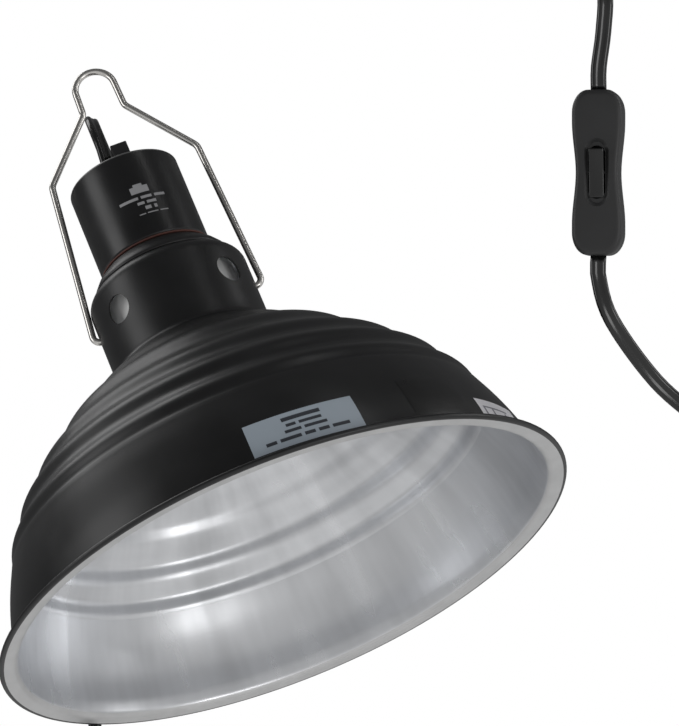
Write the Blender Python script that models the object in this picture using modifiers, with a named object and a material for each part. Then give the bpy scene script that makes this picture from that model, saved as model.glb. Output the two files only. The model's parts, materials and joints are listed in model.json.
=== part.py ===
"""Hanging heat lamp: spun dome, screw-shell socket, wire bail, flat cord, rocker switch and plug.

Metres, +Z up. The lamp hangs from its wire bail, and the world origin is the point of the bail's
loop that rests on a hook. Sizes below are millimetres on the lamp's own axes: x and y from the
dome's axis, z above the plane of the rim. +X runs along the bail's pivots, -Y is the front.
"""
import math

import bmesh
import bpy
from mathutils import Euler, Matrix, Vector

MM = 0.001
GAP = 0.3                     # clearance between pieces that only rest on each other
HANG_POINT = (4.0, 0.0, 260.0)  # underside of the wire at the top of the bail's loop
PIVOT_Z = 133.0               # height of the bail's pivots in the neck

# reflector
RIM_RADIUS = 127.0
LIP_WIDTH = 7.5
SHEET = 1.0
CREST_RADII = (46.0, 67.0, 84.0, 96.0, 104.4)  # the ripples' crests, from the neck outwards
RIPPLE_HEIGHT = 0.9           # crest above and valley below the plain curve
SKIRT_TOP_RADIUS = 107.6
NECK_RADIUS = 35.6
NECK_TOP = 151.0
NECK_MOUTH_RADIUS = 29.0
VENT_RADIUS = 6.3
VENT_ANGLES = (45, 135, 225, 315)
DOME_STEPS = 48

# socket housing
HOUSING_RADIUS = 25.0
HOUSING_TOP = 204.0
HOUSING_FOOT = 161.0
HOUSING_WALL = 1.6

# bail
WIRE_RADIUS = 1.5
LOOP_RADIUS = 9.0

# cord and switch
CORD_RADIUS = 2.6
SWITCH_CENTRE = (165.4, -128.7, 65.5)
SWITCH_EULER = (23.9, 23.4, -7.5)  # pitch, roll, yaw in degrees
SWITCH_TWIST = -11.0
SWITCH_LENGTH = 65.9
SWITCH_END_WIDTH = 21.0
SWITCH_WAIST = 18.0
SWITCH_DEPTH = 15.0
ROCKER_TILT = 8.0
COIL_CENTRE = (167.0, -140.0, 203.0)
COIL_MEAN_RADIUS = 33.0
COIL_HALF_WIDTH = 8.5         # of the bundled turns, outwards from the coil's middle
COIL_HALF_DEPTH = 7.0         # of the bundled turns, along the coil's axis
PLUG_FOOT = (127.0, -144.0, 268.0)   # where the cord enters; the blades point up

FINISHES = {
    # name: (colour, metallic, roughness)
    "black_paint": ((0.02, 0.02, 0.022), 0.1, 0.38),
    "black_plastic": ((0.025, 0.025, 0.026), 0.0, 0.3),
    "switch_plastic": ((0.045, 0.045, 0.047), 0.0, 0.45),
    "cord_vinyl": ((0.02, 0.02, 0.02), 0.0, 0.28),
    "red_fibre": ((0.28, 0.09, 0.06), 0.0, 0.7),
    "porcelain": ((0.75, 0.74, 0.71), 0.0, 0.25),
    "brass": ((0.78, 0.6, 0.3), 1.0, 0.3),
    "steel": ((0.6, 0.6, 0.6), 1.0, 0.25),
    "stainless": ((0.75, 0.74, 0.72), 1.0, 0.15),
    "white_wire": ((0.8, 0.8, 0.78), 0.0, 0.4),
}


def clear_scene():
    for thing in list(bpy.data.objects):
        bpy.data.objects.remove(thing, do_unlink=True)


def collection(name):
    made = bpy.data.collections.new(name)
    bpy.context.scene.collection.children.link(made)
    return made


def material(finish, node):
    colour, metallic, roughness = FINISHES[finish]
    made = bpy.data.materials.new(node)
    made.use_nodes = True
    shader = made.node_tree.nodes["Principled BSDF"]
    shader.inputs["Base Color"].default_value = (*colour, 1.0)
    shader.inputs["Metallic"].default_value = metallic
    shader.inputs["Roughness"].default_value = roughness
    made.diffuse_color = (*colour, 1.0)
    return made


def scaled(points):
    return [Vector(point) * MM for point in points]


# --- empties that hold the moving pieces -------------------------------------------------------

def empty(name, location, parent=None, rotation=None):
    made = bpy.data.objects.new(name, None)
    PARTS.objects.link(made)
    made.parent = parent
    made.location = location
    if rotation:
        made.rotation_euler = rotation
    return made


def add_piece(name, data, finish, holder, smooth=True):
    """Links a mesh or curve, whose points are in its holder's own axes, to that holder."""
    made = bpy.data.objects.new(name, data)
    PARTS.objects.link(made)
    data.materials.append(material(finish, name))
    made.parent = holder["empty"]
    made.location = -Vector(holder["offset"]) * MM
    if smooth and made.type == "MESH":
        data.shade_smooth()
    return made


# --- shapes --------------------------------------------------------------------------------------

def mesh_from(build):
    """A mesh that build(bm) makes in millimetres, turned into metres."""
    bm = bmesh.new()
    build(bm)
    bmesh.ops.scale(bm, vec=(MM, MM, MM), verts=bm.verts)
    bmesh.ops.recalc_face_normals(bm, faces=bm.faces)
    data = bpy.data.meshes.new("shape")
    bm.to_mesh(data)
    bm.free()
    return data


def box_mesh(size, centre, bevel=0.0):
    def build(bm):
        made = bmesh.ops.create_cube(bm, size=1.0)["verts"]
        bmesh.ops.scale(bm, vec=size, verts=made)
        bmesh.ops.translate(bm, vec=centre, verts=made)
        if bevel:
            bmesh.ops.bevel(bm, geom=bm.edges[:], offset=bevel, segments=2, affect="EDGES", profile=0.5)
    return mesh_from(build)


def rod_mesh(radius, start, end, sides=24, end_radius=None):
    def build(bm):
        run = Vector(end) - Vector(start)
        turn = run.to_track_quat("Z", "Y").to_matrix().to_4x4()
        place = Matrix.Translation((Vector(start) + Vector(end)) / 2) @ turn
        bmesh.ops.create_cone(bm, cap_ends=True, segments=sides, radius1=radius,
                              radius2=radius if end_radius is None else end_radius,
                              depth=run.length, matrix=place)
    return mesh_from(build)


def turned(name, outline, finish, holder, steps=40, open_ends=False):
    """Turns an outline of (radius, height) about the lamp's axis with a Screw modifier."""
    data = bpy.data.meshes.new(name)
    points = [(radius * MM, 0.0, height * MM) for radius, height in outline]
    edges = [(i, i + 1) for i in range(len(points) - 1)]
    if not open_ends:
        edges.append((len(points) - 1, 0))
    data.from_pydata(points, edges, [])
    made = add_piece(name, data, finish, holder, smooth=False)
    screw = made.modifiers.new("turn", "SCREW")
    screw.axis = "Z"
    screw.steps = steps
    screw.render_steps = steps
    screw.use_merge_vertices = True
    screw.merge_threshold = 0.00001
    screw.use_smooth_shade = True
    return made


def torus_mesh(centre, major, minor, axis="Z", squash=1.0):
    """A ring about an axis through centre; squash flattens its section along that axis."""
    def build(bm):
        side = Matrix.Translation((major, 0, 0)) @ Matrix.Rotation(math.pi / 2, 4, "X")
        bmesh.ops.create_circle(bm, segments=12, radius=minor, matrix=side)
        bmesh.ops.spin(bm, geom=bm.edges[:], cent=(0, 0, 0), axis=(0, 0, 1), angle=2 * math.pi, steps=36)
        bmesh.ops.remove_doubles(bm, verts=bm.verts, dist=0.001)
        bmesh.ops.scale(bm, vec=(1, 1, squash), verts=bm.verts)
        turn = {"Z": Matrix(), "Y": Matrix.Rotation(math.pi / 2, 4, "X"),
                "X": Matrix.Rotation(math.pi / 2, 4, "Y")}[axis]
        bmesh.ops.transform(bm, matrix=Matrix.Translation(centre) @ turn, verts=bm.verts)
    return mesh_from(build)


def arc(centre, radius, start, end, count):
    """Points of a circular arc, in degrees, as (x, z)."""
    angles = [math.radians(start + (end - start) * i / count) for i in range(count + 1)]
    return [(centre[0] + radius * math.cos(a), centre[1] + radius * math.sin(a)) for a in angles]


def rounded(points, radii, count=4):
    """A polyline with each inner corner replaced by an arc of the given radius."""
    path = [Vector(points[0])]
    for before, corner, after, radius in zip(points, points[1:], points[2:], radii):
        corner = Vector(corner)
        back = (Vector(before) - corner).normalized()
        on = (Vector(after) - corner).normalized()
        half = back.angle(on) / 2
        centre = corner + (back + on).normalized() * radius / math.sin(half)
        start = corner + back * radius / math.tan(half) - centre
        end = corner + on * radius / math.tan(half) - centre
        path += [centre + start.slerp(end, i / count) * radius / start.slerp(end, i / count).length
                 for i in range(count + 1)]
    path.append(Vector(points[-1]))
    return path


def smooth_route(points, spacing):
    """Evenly spaced points along a Catmull-Rom curve through the route's points."""
    points = [Vector(point) for point in points]
    ends = [2 * points[0] - points[1]] + points + [2 * points[-1] - points[-2]]
    fine = []
    for a, b, c, d in zip(ends, ends[1:], ends[2:], ends[3:]):
        for i in range(20):
            t = i / 20
            fine.append(0.5 * (2 * b + (c - a) * t + (2 * a - 5 * b + 4 * c - d) * t * t
                               + (3 * b - a - 3 * c + d) * t ** 3))
    fine.append(points[-1])
    lengths = [0.0]
    for a, b in zip(fine, fine[1:]):
        lengths.append(lengths[-1] + (b - a).length)
    count = max(2, round(lengths[-1] / spacing))
    route, at = [], 0
    for i in range(count + 1):
        wanted = lengths[-1] * i / count
        while at < len(fine) - 2 and lengths[at + 1] < wanted:
            at += 1
        share = (wanted - lengths[at]) / max(lengths[at + 1] - lengths[at], 1e-9)
        route.append(fine[at].lerp(fine[at + 1], min(share, 1.0)))
    return route


def wire(name, points, radius, finish, holder, resolution=2):
    data = bpy.data.curves.new(name, "CURVE")
    data.dimensions = "3D"
    data.bevel_depth = radius * MM
    data.bevel_resolution = resolution
    data.use_fill_caps = True
    spline = data.splines.new("POLY")
    spline.points.add(len(points) - 1)
    for point, place in zip(spline.points, scaled(points)):
        point.co = (*place, 1.0)
    return add_piece(name, data, finish, holder)


def cut(target, data, label):
    """Takes a mesh, in the same axes as the target, out of it."""
    cutter = bpy.data.objects.new(target.name + "_" + label, data)
    CUTTERS.objects.link(cutter)
    cutter.parent = target.parent
    cutter.location = target.location
    cutter.hide_render = True
    cutter.display_type = "WIRE"
    boolean = target.modifiers.new(label, "BOOLEAN")
    boolean.operation = "DIFFERENCE"
    boolean.solver = "EXACT"
    boolean.object = cutter


# --- the lamp -------------------------------------------------------------------------------------

def ripple(radius):
    """How far the wall stands out at a radius: crests at CREST_RADII, level near the neck and skirt."""
    if not CREST_RADII[0] < radius < SKIRT_TOP_RADIUS:
        return 0.0
    for i, (inner, outer) in enumerate(zip(CREST_RADII, CREST_RADII[1:] + (SKIRT_TOP_RADIUS + 4,))):
        if inner <= radius <= outer:
            turn = 2 * math.pi * (i + (radius - inner) / (outer - inner))
            fade = min(1.0, (radius - CREST_RADII[0]) / 12, (SKIRT_TOP_RADIUS - radius) / 2)
            return RIPPLE_HEIGHT * fade * math.cos(turn)
    return 0.0


def dome_curve(radius):
    """Height of the plain dome above the rim at a radius, between the flare and the skirt."""
    stops = [(38.0, 112.0), (47.0, 106.5), (54.0, 101.5), (63.0, 94.8), (77.0, 83.8), (90.3, 70.8),
             (99.8, 57.3), (SKIRT_TOP_RADIUS, 42.0)]
    for (r0, z0), (r1, z1) in zip(stops, stops[1:]):
        if radius <= r1:
            return z0 + (z1 - z0) * (radius - r0) / (r1 - r0)
    return stops[-1][1]


def dome_wall():
    """The reflector's outer wall as (radius, height), from the neck's shoulder to the lip."""
    shoulder = arc((NECK_RADIUS - 6, NECK_TOP - 6), 6, 90, 0, 3)
    flare = arc((NECK_RADIUS + 4, 115.0), 4, 180, 250, 2)
    dome = [(47.0, dome_curve(47.0))]
    for inner, outer in zip(CREST_RADII, CREST_RADII[1:]):
        for share in (0.25, 0.5, 0.75, 1.0):
            radius = inner + (outer - inner) * share
            if radius > 50:
                dome.append((radius + 0.7 * ripple(radius), dome_curve(radius) + 0.7 * ripple(radius)))
    skirt = [(SKIRT_TOP_RADIUS, 42.0), (112.4, 30.0), (116.3, 17.0), (118.2, 6.0), (118.9, 3.4)]
    return shoulder + flare + dome + skirt


def reflector(holder):
    wall = dome_wall()
    inside = [(radius - SHEET * 0.8, height - SHEET * 0.6) for radius, height in wall[1:-1]]
    lip = [(121.0, 1.8), (126.0, 1.8), (RIM_RADIUS, 1.2), (RIM_RADIUS, 0.6), (126.4, 0.0),
           (RIM_RADIUS - LIP_WIDTH + 1.5, 0.0), (118.8, 1.4)]
    outline = [(NECK_MOUTH_RADIUS, NECK_TOP)] + wall + lip + inside[::-1]
    outline.append((NECK_MOUTH_RADIUS, NECK_TOP - SHEET))
    shell = turned("reflector_shell", outline, "black_paint", holder, steps=DOME_STEPS)
    for angle in VENT_ANGLES:
        out = Vector((math.cos(math.radians(angle)), math.sin(math.radians(angle)), 0.0))
        ends = [tuple(out * reach + Vector((0, 0, PIVOT_Z))) for reach in (30.0, 40.0)]
        cut(shell, rod_mesh(VENT_RADIUS, *ends, sides=20), f"vent_{angle}")
    for side in (-1, 1):
        ends = [(side * 30.0, 0.0, PIVOT_Z), (side * 40.0, 0.0, PIVOT_Z)]
        cut(shell, rod_mesh(WIRE_RADIUS + 0.15, *ends, sides=16), f"pivot_{side + 1}")


def socket_pieces(holder):
    """Everything between the neck and the top of the housing."""
    foot, top, wall = HOUSING_FOOT, HOUSING_TOP, HOUSING_WALL
    cup = [(0.0, top)] + arc((HOUSING_RADIUS - 1.2, top - 1.2), 1.2, 90, 0, 2)
    cup += [(HOUSING_RADIUS, foot), (HOUSING_RADIUS - wall, foot), (HOUSING_RADIUS - wall, top - wall)]
    cup += [(0.0, top - wall)]
    housing = turned("socket_housing", cup, "black_paint", holder, open_ends=True)
    cut(housing, rod_mesh(CORD_RADIUS + 0.3, (-4.2, 0, top - 5), (-4.2, 0, top + 5), sides=16), "cord")
    ring = [(20.5, foot - GAP), (25.6, foot - GAP), (25.6, foot - 1.2), (20.5, foot - 1.2)]
    turned("housing_gasket", ring, "red_fibre", holder)
    low = NECK_TOP + GAP
    collar = [(20.5, foot - 1.5), (25.4, foot - 1.5), (31.4, low + 1.6), (31.4, low), (20.5, low)]
    turned("neck_collar", collar, "black_paint", holder)
    body = [(20.0, 158.0), (20.0, 149.5), (27.5, 148.2), (30.0, 145.7), (30.0, 120.5), (27.8, 118.0),
            (15.4, 118.0), (14.6, 121.0), (14.6, 150.0), (0.0, 150.0)]
    turned("porcelain_socket", [(0.0, 158.0)] + body, "porcelain", holder, open_ends=True)
    screw_shell(holder)
    turned("centre_contact", [(0.0, 149.7), (5.0, 149.7), (5.0, 149.0), (2.5, 146.5), (0.0, 146.5)],
           "brass", holder, steps=20, open_ends=True)
    bracket = box_mesh((38.0, 12.0, 1.2), (0, 0, 158.9))
    yoke = add_piece("socket_bracket", bracket, "steel", holder, smooth=False)
    cut(yoke, rod_mesh(CORD_RADIUS + 0.6, (-4.2, 0, 155), (-4.2, 0, 163), sides=16), "wires")
    for side, label in ((-1, "left"), (1, "right")):
        head = rod_mesh(3.0, (side * 16.0, 0, 159.8), (side * 16.0, 0, 161.8), sides=16)
        add_piece(f"bracket_screw_{label}", head, "steel", holder)
        terminal = rod_mesh(2.8, (side * 10.0, 11.0, 158.3), (side * 10.0, 11.0, 161.0), sides=16)
        finish = "brass" if side > 0 else "steel"
        add_piece(f"terminal_screw_{label}", terminal, finish, holder)
        lead = [(-4.2 + side * 1.3, 0.0, 197.0), (side * 6.0, 3.0, 182.0), (side * 10.0, 11.0, 168.0),
                (side * 10.0, 11.0, 161.3)]
        wire(f"lead_{label}", smooth_route(lead, 6.0), 1.1, "white_wire", holder, resolution=1)


def screw_shell(holder):
    """The threaded sleeve that holds the bulb's cap, with its thread as rings."""
    outer = [(14.2, 145.0)]
    inner = []
    for turn in range(4):
        height = 144.0 - 5.5 * turn
        outer += [(13.7, height - 1.2), (14.2, height - 2.8), (13.7, height - 4.4)]
    outer.append((14.2, 120.0))
    inner = [(radius - 0.5, height) for radius, height in reversed(outer)]
    turned("screw_shell", outer + inner, "brass", holder, steps=32)


def strain_relief(holder):
    """The clamp block on top of the housing, with a low step that the cord comes out of."""
    base = HOUSING_TOP + GAP
    add_piece("cord_clamp_block", box_mesh((7.6, 16.0, 14.2), (3.3, 0, base + 7.1), 0.4),
              "black_plastic", holder, smooth=False)
    step = box_mesh((7.9, 14.0, 5.5), (-4.6, 0, base + 2.75), 0.4)
    base_plate = add_piece("cord_clamp_base", step, "black_plastic", holder, smooth=False)
    cut(base_plate, rod_mesh(CORD_RADIUS + 0.3, (-4.2, 0, base - 5), (-4.2, 0, base + 12), sides=16), "cord")
    screw = rod_mesh(2.2, (7.5, 2.0, base + 8.0), (9.3, 2.0, base + 8.0), sides=16)
    add_piece("clamp_screw", screw, "steel", holder)


def bail(holder):
    loop_x, _, hang_z = HANG_POINT
    top = hang_z + WIRE_RADIUS - LOOP_RADIUS
    left = rounded([(-31, 0, PIVOT_Z), (-38.8, 0, PIVOT_Z), (-30.4, 0, 213.2), (loop_x - 9.4, 0, 242.0),
                    (loop_x - LOOP_RADIUS, 0, top)], (3.5, 6.0, 5.0))
    right = rounded([(31, 0, PIVOT_Z), (39.4, 0, PIVOT_Z), (36.4, 0, 208.2), (loop_x + 9.4, 0, 240.0),
                     (loop_x + LOOP_RADIUS, 0, top)], (3.5, 6.0, 5.0))
    over = [Vector((x, 0, z)) for x, z in arc((loop_x, top), LOOP_RADIUS, 180, 0, 12)[1:-1]]
    wire("bail_wire", left + over + right[::-1], WIRE_RADIUS, "stainless", holder)


# --- the switch -----------------------------------------------------------------------------------

def switch_outline(inset=0.0, count=40):
    """The waisted outline as (x, z): wide rounded ends and a narrower middle."""
    half_length = SWITCH_LENGTH / 2 - inset
    points = []
    for i in range(count):
        angle = 2 * math.pi * (i + 0.5) / count
        z = half_length * math.copysign(abs(math.sin(angle)) ** 0.62, math.sin(angle))
        blend = min(1.0, abs(z) / (half_length * 0.72))
        width = SWITCH_WAIST + (SWITCH_END_WIDTH - SWITCH_WAIST) * blend * blend * (3 - 2 * blend)
        reach = (1 - min(1.0, abs(z) / half_length) ** 6) ** (1 / 2.2)
        points.append(((width / 2 - inset) * math.copysign(max(reach, 0.02), math.cos(angle)), z))
    return points


def plate_mesh(outline, low, high, crown=0.0):
    """A flat-backed slab over an outline, from y = low to y = high, its front edge crowned."""
    def build(bm):
        levels = [(high, 0.0), (low + crown, 0.0), (low + crown * 0.3, 0.35), (low, 1.0)]
        if not crown:
            levels = [(high, 0.0), (low, 0.0)]
        rings = []
        for y, inset in levels:
            shrink = crown * inset
            ring = [bm.verts.new((x * (1 - shrink / 11), y, z * (1 - shrink / 33))) for x, z in outline]
            rings.append(ring)
        for lower, upper in zip(rings, rings[1:]):
            for i in range(len(outline)):
                k = (i + 1) % len(outline)
                bm.faces.new((lower[i], lower[k], upper[k], upper[i]))
        bm.faces.new(rings[0])
        bm.faces.new(rings[-1])
    return mesh_from(build)


def switch(holder, rocker_holder):
    half = SWITCH_DEPTH / 2
    halves = {"switch_front_shell": (-half, -0.15), "switch_back_shell": (half, 0.15)}
    for name, (face, seam) in halves.items():
        shell = add_piece(name, plate_mesh(switch_outline(), face, seam, 2.4 * math.copysign(1, -face)),
                          "switch_plastic", holder, smooth=False)
        floor = face - math.copysign(3.2 if face < 0 else 1.8, face)
        cut(shell, plate_mesh(switch_outline(1.8), floor, seam - math.copysign(2, face)), "hollow")
        cut(shell, rod_mesh(CORD_RADIUS + 0.3, (0, 0, -40), (0, 0, 40), sides=16), "cord")
        if face < 0:
            cut(shell, box_mesh((6.3, 8.0, 20.0), (0, face + 2, 0), 1.0), "slot")
            cut(shell, rod_mesh(0.9, (-5.2, face + 2, 0), (5.2, face + 2, 0), sides=16), "pin")
    pin_y = -half + 2
    add_piece("rocker_pin", rod_mesh(0.7, (-4.8, pin_y, 0), (4.8, pin_y, 0), sides=16), "steel", holder)
    tilt = Matrix.Rotation(math.radians(ROCKER_TILT), 3, "X")
    rocker_mesh = box_mesh((4.9, 4.6, 17.0), (0, -1.0, 0), 0.7)
    for vertex in rocker_mesh.vertices:
        vertex.co = tilt @ vertex.co
    rocker = add_piece("rocker", rocker_mesh, "black_plastic", rocker_holder, smooth=False)
    cut(rocker, rod_mesh(0.8, (-6, 0, 0), (6, 0, 0), sides=16), "pin")
    add_piece("contact_bar", box_mesh((3.0, 0.8, 16.0), (0, 2.6, 0)), "brass", holder, smooth=False)
    for side, label in ((1, "in"), (-1, "out")):
        post = box_mesh((6.0, 1.0, 7.0), (0, 4.2, side * 12.0))
        add_piece(f"switch_terminal_{label}", post, "brass", holder, smooth=False)
        screw = rod_mesh(2.0, (0, half + 0.3, side * 24.0), (0, half + 1.3, side * 24.0), sides=16)
        add_piece(f"switch_screw_{label}", screw, "steel", holder)


# --- cord, coil and plug --------------------------------------------------------------------------

def cord_and_plug(holder, switch_axes):
    up, centre = switch_axes
    into = centre + up * (SWITCH_LENGTH / 2 - 6)
    out = centre - up * (SWITCH_LENGTH / 2 - 6)
    over = [(-4.2, 0, 198), (-4.2, 0, 205), (-4.2, 0, 212), (-3.4, 0, 221), (-2.9, 0.8, 229.8),
            (-2.4, 7.3, 241), (-1.4, 18.5, 247.4), (-0.3, 31.3, 247.4), (0.7, 42.5, 241), (1.3, 49, 229.8),
            (1, 50, 205)]
    behind = [(-1, 51.5, 155), (-4, 54, 134), (-9, 59, 118), (-18, 65, 106), (-31, 71, 94), (-46, 77, 80),
              (-61, 81, 65), (-74, 84, 48), (-84, 86, 30), (-91, 88, 13), (-96, 91, 0)]
    under = [(-98, 98, -14), (-93, 113, -28), (-76, 130, -44), (-48, 138, -62), (-12, 135, -80),
             (34, 117, -98), (77, 82, -113), (113, 40, -122), (139, 8, -121), (160, -15, -108),
             (173, -34, -86), (179, -51, -65), (180, -64, -46), (173, -73, -30), (160, -84, -9),
             (150, -104, 14), tuple(centre - up * 42)]
    lamp_cord = over + behind + under + [tuple(out)]
    wire("cord_lamp_to_switch", smooth_route(lamp_cord, 15), CORD_RADIUS, "cord_vinyl", holder)
    coil_middle = Vector(COIL_CENTRE)
    front_y = -COIL_HALF_DEPTH - CORD_RADIUS - 1.0
    rise = [tuple(into), tuple(centre + up * 42), (186.9, -152.7, 112.7), (193.4, -160.2, 127.6)]
    to_coil = ((34, -22, -40), (28, -16, -24), (30, front_y - 1, -8))
    rise += [tuple(coil_middle + Vector(step)) for step in to_coil]
    wire("cord_switch_to_coil", smooth_route(rise, 13), CORD_RADIUS, "cord_vinyl", holder)
    coil = torus_mesh(COIL_CENTRE, COIL_MEAN_RADIUS, COIL_HALF_WIDTH, "Y", COIL_HALF_DEPTH / COIL_HALF_WIDTH)
    add_piece("cord_coil", coil, "cord_vinyl", holder)
    bundle_foot = coil_middle - Vector((0, 0, COIL_MEAN_RADIUS))
    add_piece("coil_tie", torus_mesh(bundle_foot, 10.2, 0.9, "X"), "black_plastic", holder)
    x, y, z = PLUG_FOOT
    from_coil = ((2, front_y, 37), (-18, front_y, 38), (-33, -8, 46))
    tail = [tuple(coil_middle + Vector(step)) for step in from_coil]
    tail += [(x, y, z - 6), (x, y, z + 4)]
    wire("cord_coil_to_plug", smooth_route(tail, 10), CORD_RADIUS, "cord_vinyl", holder)


def plug(holder):
    """A moulded two-blade plug, blades up, with a hollow neck that the cord ends in."""
    x, y, z = PLUG_FOOT

    def body(bm):
        made = bmesh.ops.create_cube(bm, size=1.0)["verts"]
        bmesh.ops.scale(bm, vec=(25.0, 14.0, 25.0), verts=made)
        for vertex in made:
            if vertex.co.z < 0:
                vertex.co.x *= 0.42
                vertex.co.y *= 0.72
        bmesh.ops.translate(bm, vec=(x, y, z + 12.5), verts=made)
        bmesh.ops.bevel(bm, geom=bm.edges[:], offset=1.8, segments=2, affect="EDGES", profile=0.5)
    shell = add_piece("plug_body", mesh_from(body), "black_plastic", holder, smooth=False)
    cut(shell, rod_mesh(CORD_RADIUS + 0.3, (x, y, z - 6), (x, y, z + 6), sides=16), "cord")
    for side, label, width in ((-1, "live", 6.3), (1, "neutral", 7.9)):
        centre = (x + side * 6.35, y, z + 34.0)
        blade = box_mesh((1.5, width, 17.0), centre, 0.3)
        add_piece(f"plug_blade_{label}", blade, "brass", holder, smooth=False)


def main():
    origin = -Vector(HANG_POINT) * MM
    hang = empty("hang_frame", (0, 0, 0))
    pivot = Vector((0, 0, PIVOT_Z)) * MM
    tilt = empty("lamp_tilt", origin + pivot, hang)
    bail_holder = {"empty": hang, "offset": HANG_POINT}
    lamp = {"empty": tilt, "offset": (0, 0, PIVOT_Z)}
    bail(bail_holder)
    reflector(lamp)
    socket_pieces(lamp)
    strain_relief(lamp)

    pitch, roll, yaw = (math.radians(angle) for angle in SWITCH_EULER)
    turn = Matrix.Rotation(yaw, 3, "Z") @ Matrix.Rotation(pitch, 3, "X") @ Matrix.Rotation(roll, 3, "Y")
    turn = turn @ Matrix.Rotation(math.radians(SWITCH_TWIST), 3, "Z")
    place = Vector(SWITCH_CENTRE) * MM - pivot
    switch_frame = empty("switch_frame", place, tilt, turn.to_euler())
    rocker_axis = empty("rocker_axis", (0, (2 - SWITCH_DEPTH / 2) * MM, 0), switch_frame)
    switch({"empty": switch_frame, "offset": (0, 0, 0)}, {"empty": rocker_axis, "offset": (0, 0, 0)})
    plug(lamp)
    cord_and_plug(lamp, (turn @ Vector((0, 0, 1)), Vector(SWITCH_CENTRE)))


clear_scene()
PARTS = collection("heat_lamp_fixture")
CUTTERS = collection("cutters")
main()
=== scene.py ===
"""The looks of the hanging heat lamp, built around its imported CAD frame.

Metres, +Z up, in the frame's axes: the origin is the hang point of the bail's loop, +X runs along
the bail's pivots towards the switch, and -Y is the front. Small sizes are written in millimetres
and turned into metres by mm(). Heights called above_rim are measured up from the rim's plane.
"""
import json
import math

import bmesh
import bpy
from mathutils import Matrix, Vector


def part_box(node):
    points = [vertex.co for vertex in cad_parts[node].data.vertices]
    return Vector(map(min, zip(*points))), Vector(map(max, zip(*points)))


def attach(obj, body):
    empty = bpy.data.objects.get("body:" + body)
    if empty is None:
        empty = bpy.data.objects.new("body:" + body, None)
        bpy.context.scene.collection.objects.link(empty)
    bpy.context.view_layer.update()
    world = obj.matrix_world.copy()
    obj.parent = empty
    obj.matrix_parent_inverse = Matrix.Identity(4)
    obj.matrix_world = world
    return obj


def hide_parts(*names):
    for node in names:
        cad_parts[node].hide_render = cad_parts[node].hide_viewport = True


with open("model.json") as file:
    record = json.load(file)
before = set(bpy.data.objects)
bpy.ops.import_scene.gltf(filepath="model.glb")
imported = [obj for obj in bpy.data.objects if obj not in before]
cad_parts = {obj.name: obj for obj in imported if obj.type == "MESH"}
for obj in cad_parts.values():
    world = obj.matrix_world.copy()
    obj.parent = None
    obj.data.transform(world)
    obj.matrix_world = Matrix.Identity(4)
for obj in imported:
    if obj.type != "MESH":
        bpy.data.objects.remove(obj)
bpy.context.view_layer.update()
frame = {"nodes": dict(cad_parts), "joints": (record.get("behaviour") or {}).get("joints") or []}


def mm(value):
    return value / 1000


# --- places taken from the frame -----------------------------------------------------------------
SHELL_LOW, SHELL_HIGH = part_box("reflector_shell")
AXIS_X = (SHELL_LOW.x + SHELL_HIGH.x) / 2
AXIS_Y = (SHELL_LOW.y + SHELL_HIGH.y) / 2
RIM_Z = SHELL_LOW.z
RIM_RADIUS = (SHELL_HIGH.x - SHELL_LOW.x) / 2
RIM_CENTRE = Vector((AXIS_X, AXIS_Y, RIM_Z))
HOUSING_LOW, HOUSING_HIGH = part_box("socket_housing")
HOUSING_RADIUS = (HOUSING_HIGH.x - HOUSING_LOW.x) / 2
PIVOT_Z = frame["joints"][0]["pos_m"][2]
SWITCH_HINGE = Vector(frame["joints"][1]["pos_m"])


def lamp_point(x, y, above_rim):
    """A point given in millimetres from the lamp's axis and rim plane."""
    return RIM_CENTRE + Vector((mm(x), mm(y), mm(above_rim)))


# --- camera --------------------------------------------------------------------------------------
VIEW_YAW = math.radians(-7.5)
VIEW_PITCH = math.radians(23.93)
VIEW_ROLL = math.radians(23.41)
VIEW_TURN = (Matrix.Rotation(VIEW_YAW, 3, "Z") @ Matrix.Rotation(VIEW_PITCH, 3, "X")
             @ Matrix.Rotation(VIEW_ROLL, 3, "Y"))
VIEW_RIGHT, VIEW_AHEAD, VIEW_UP = (VIEW_TURN @ Vector(axis) for axis in ((1, 0, 0), (0, 1, 0), (0, 0, 1)))
CAMERA_DISTANCE = 11.554      # in rim radii
CAMERA_ASIDE = 0.17
CAMERA_ABOVE = 0.712
LENS = 173.6


def make_camera():
    data = bpy.data.cameras.new("camera")
    data.lens = LENS
    data.clip_end = 20
    camera = bpy.data.objects.new("camera", data)
    bpy.context.scene.collection.objects.link(camera)
    offset = VIEW_RIGHT * CAMERA_ASIDE + VIEW_UP * CAMERA_ABOVE - VIEW_AHEAD * CAMERA_DISTANCE
    turn = Matrix((VIEW_RIGHT, VIEW_UP, -VIEW_AHEAD)).transposed().to_4x4()
    camera.matrix_world = Matrix.Translation(RIM_CENTRE + offset * RIM_RADIUS) @ turn
    bpy.context.scene.camera = camera


# --- shader helpers ------------------------------------------------------------------------------
MIX_COLOUR_A, MIX_COLOUR_B, MIX_COLOUR_RESULT = 6, 7, 2     # the colour sockets of a Mix node
NOISE_LOW, NOISE_HIGH = 0.3, 0.7                            # the span that most noise values fill


def new_material(name):
    made = bpy.data.materials.new(name)
    made.use_nodes = True
    tree = made.node_tree
    shader = tree.nodes["Principled BSDF"]
    return made, tree, shader


def node(tree, kind, **settings):
    made = tree.nodes.new(kind)
    for key, value in settings.items():
        if key in made.inputs:
            made.inputs[key].default_value = value
        else:
            setattr(made, key, value)
    return made


def link(tree, source, target):
    tree.links.new(source, target)


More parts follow.
